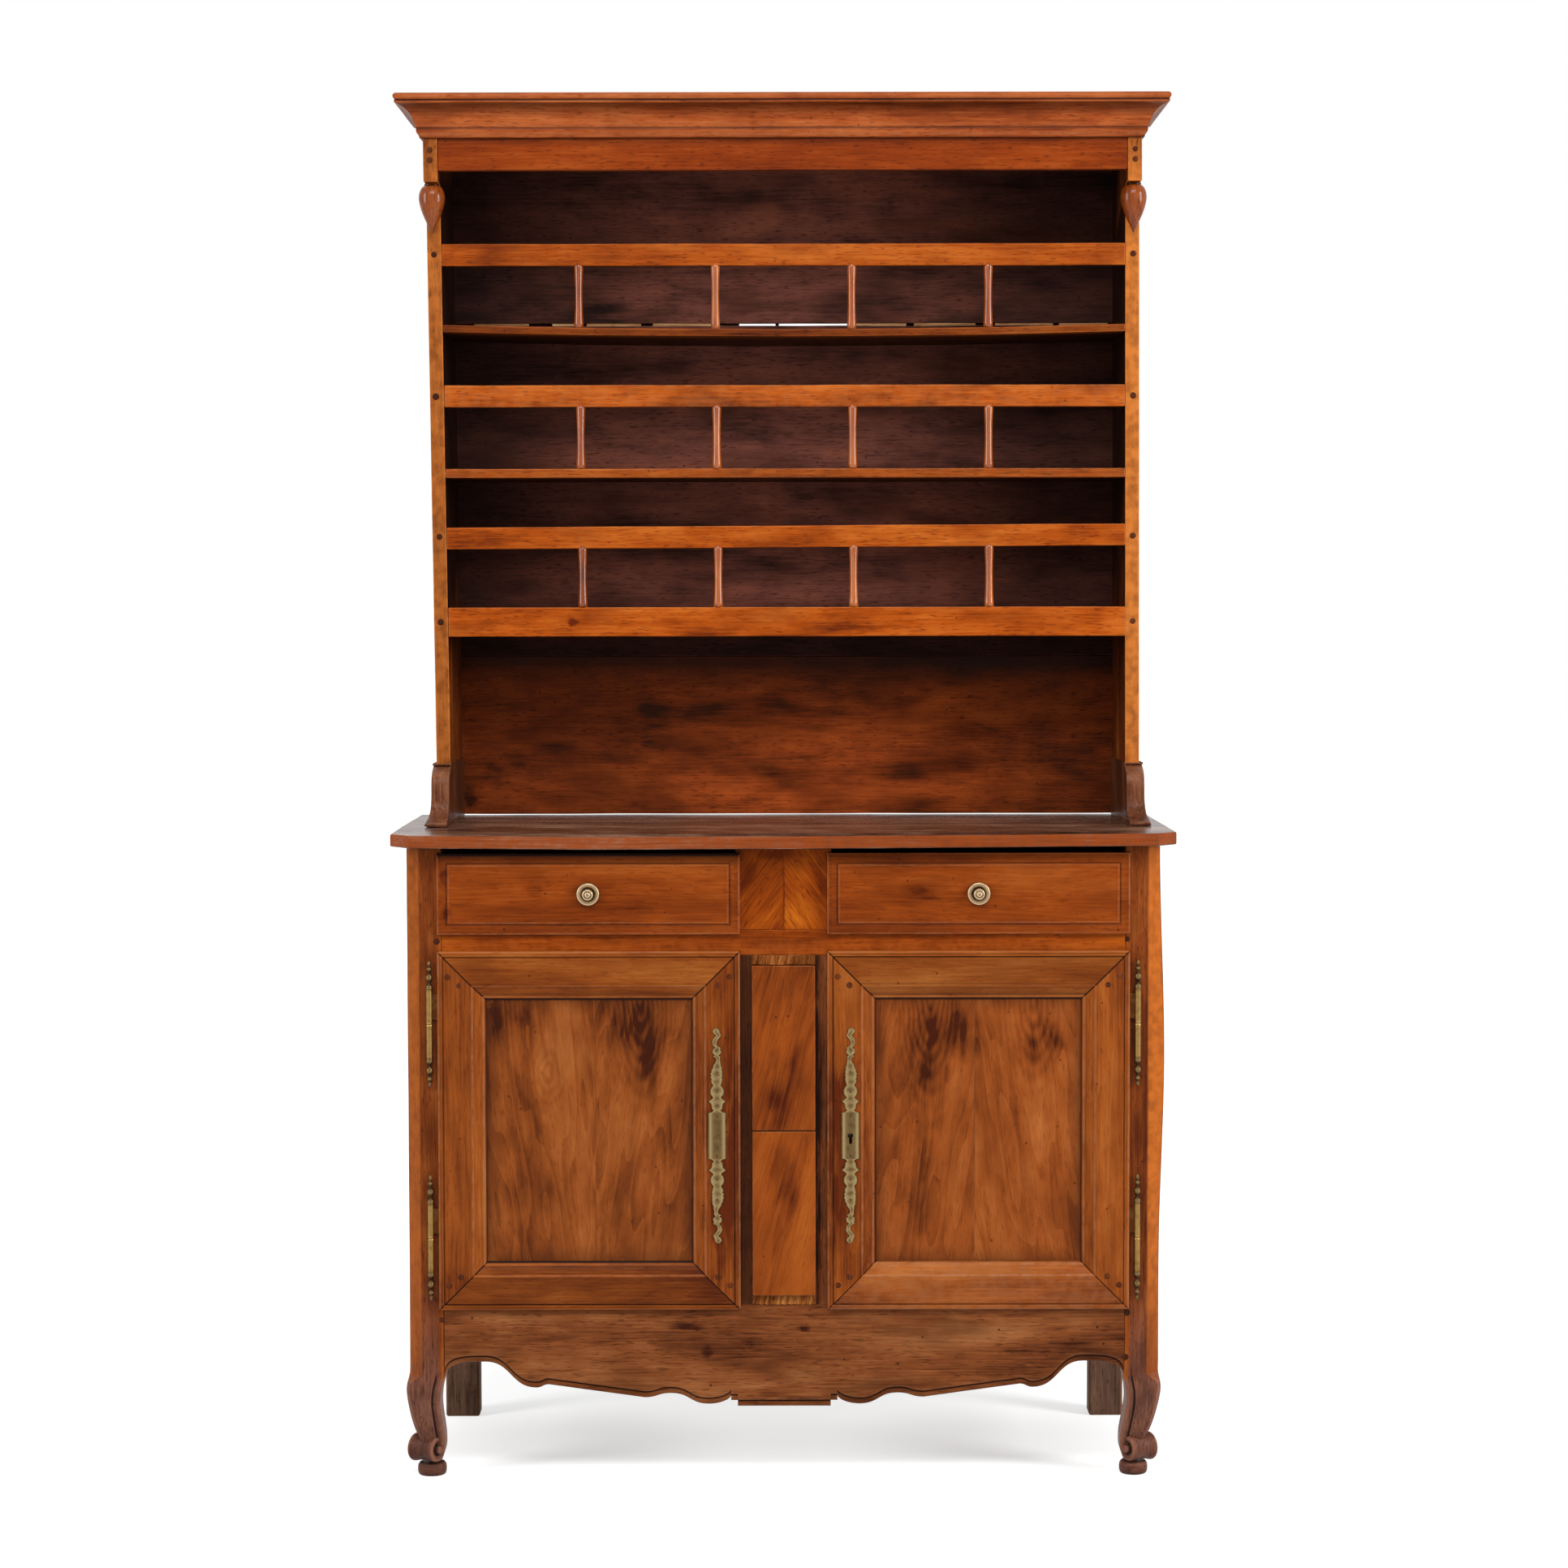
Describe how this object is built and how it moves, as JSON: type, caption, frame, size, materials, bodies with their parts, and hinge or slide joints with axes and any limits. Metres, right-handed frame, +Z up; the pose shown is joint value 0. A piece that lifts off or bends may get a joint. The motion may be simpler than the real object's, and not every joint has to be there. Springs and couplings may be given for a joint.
{
  "type": "two-part buffet",
  "caption": "Provincial wooden buffet: open plate rack with cornice, shelves and spindle rails over a cupboard with sliding drawers, hinged panelled doors, a lock and scroll feet.",
  "frame": {"origin": "on the floor under the middle of the bounding box", "axes": "+Z up, the front with the doors and drawers faces -Y, +X to the right seen from the front"},
  "size_m": [1.2786, 0.515, 2.2642],
  "materials": {
    "cherry_mid": "waxed, medium brown",
    "cherry_light": "waxed, light orange brown",
    "cherry_amber": "waxed, amber brown",
    "cherry_dark": "waxed, dark reddish brown",
    "inside_wood": "bare, unfinished",
    "aged_brass": "aged, rubbed bright on the edges",
    "dark_steel": "oiled, dark"
  },
  "bodies": {
    "base": {"rack_side_left": "cherry_mid", "rack_side_right": "cherry_mid", "pendant_left": "cherry_mid", "pendant_right": "cherry_mid", "cornice_moulding": "cherry_mid", "cornice_cap": "cherry_mid", "side_panel_left": "cherry_mid", "side_panel_right": "cherry_mid", "mid_rail": "cherry_mid", "apron": "cherry_mid", "drawer_stile": "cherry_mid", "door_stile": "cherry_mid", "frieze_rail": "cherry_light", "shelf_upper": "cherry_light", "shelf_middle": "cherry_light", "shelf_lower": "cherry_light", "plate_rail_upper": "cherry_light", "plate_rail_middle": "cherry_light", "plate_rail_lower": "cherry_light", "front_post_left": "cherry_amber", "front_post_right": "cherry_amber", "counter": "cherry_dark", "rear_post_left": "cherry_dark", "rear_post_right": "cherry_dark", "base_back": "cherry_dark", "rack_foot_left": "cherry_dark", "rack_foot_right": "cherry_dark", "rack_back_upper": "cherry_dark", "rack_back_lower": "cherry_dark", "cupboard_floor": "inside_wood", "cupboard_shelf": "inside_wood", "drawer_runners": "inside_wood", "hinge_left_upper_post_knuckle": "aged_brass", "hinge_left_lower_post_knuckle": "aged_brass", "hinge_right_upper_post_knuckle": "aged_brass", "hinge_right_lower_post_knuckle": "aged_brass"},
    "door_left": {"door_left_hinge_stile": "cherry_mid", "door_left_lock_stile": "cherry_mid", "door_left_top_rail": "cherry_mid", "door_left_bottom_rail": "cherry_mid", "door_left_panel": "cherry_mid", "hinge_left_upper_door_knuckle": "aged_brass", "hinge_left_lower_door_knuckle": "aged_brass", "escutcheon_left": "aged_brass"},
    "drawer_left": {"drawer_left_front": "cherry_mid", "drawer_left_box": "inside_wood", "drawer_left_knob": "aged_brass"},
    "door_right": {"door_right_hinge_stile": "cherry_mid", "door_right_lock_stile": "cherry_mid", "door_right_top_rail": "cherry_mid", "door_right_bottom_rail": "cherry_mid", "door_right_panel": "cherry_mid", "hinge_right_upper_door_knuckle": "aged_brass", "hinge_right_lower_door_knuckle": "aged_brass", "escutcheon_right": "aged_brass", "lock_case": "dark_steel"},
    "drawer_right": {"drawer_right_front": "cherry_mid", "drawer_right_box": "inside_wood", "drawer_right_knob": "aged_brass"},
    "lock_bolt": {"lock_bolt": "dark_steel"}
  },
  "joints": [
    {"name": "door_left_hinge", "type": "hinge", "parent": "base", "child": "door_left", "pos_m": [-0.5735, -0.228, 0.57], "axis": [0, 0, -1], "range_deg": [0, 120]},
    {"name": "door_right_hinge", "type": "hinge", "parent": "base", "child": "door_right", "pos_m": [0.5735, -0.228, 0.57], "axis": [0, 0, 1], "range_deg": [0, 120]},
    {"name": "drawer_left_slide", "type": "slide", "parent": "base", "child": "drawer_left", "axis": [0, -1, 0], "range_m": [0, 0.36]},
    {"name": "drawer_right_slide", "type": "slide", "parent": "base", "child": "drawer_right", "axis": [0, -1, 0], "range_m": [0, 0.36]},
    {"name": "lock_bolt_slide", "type": "slide", "parent": "door_right", "child": "lock_bolt", "axis": [-1, 0, 0], "range_m": [0, 0.0155]}
  ]
}
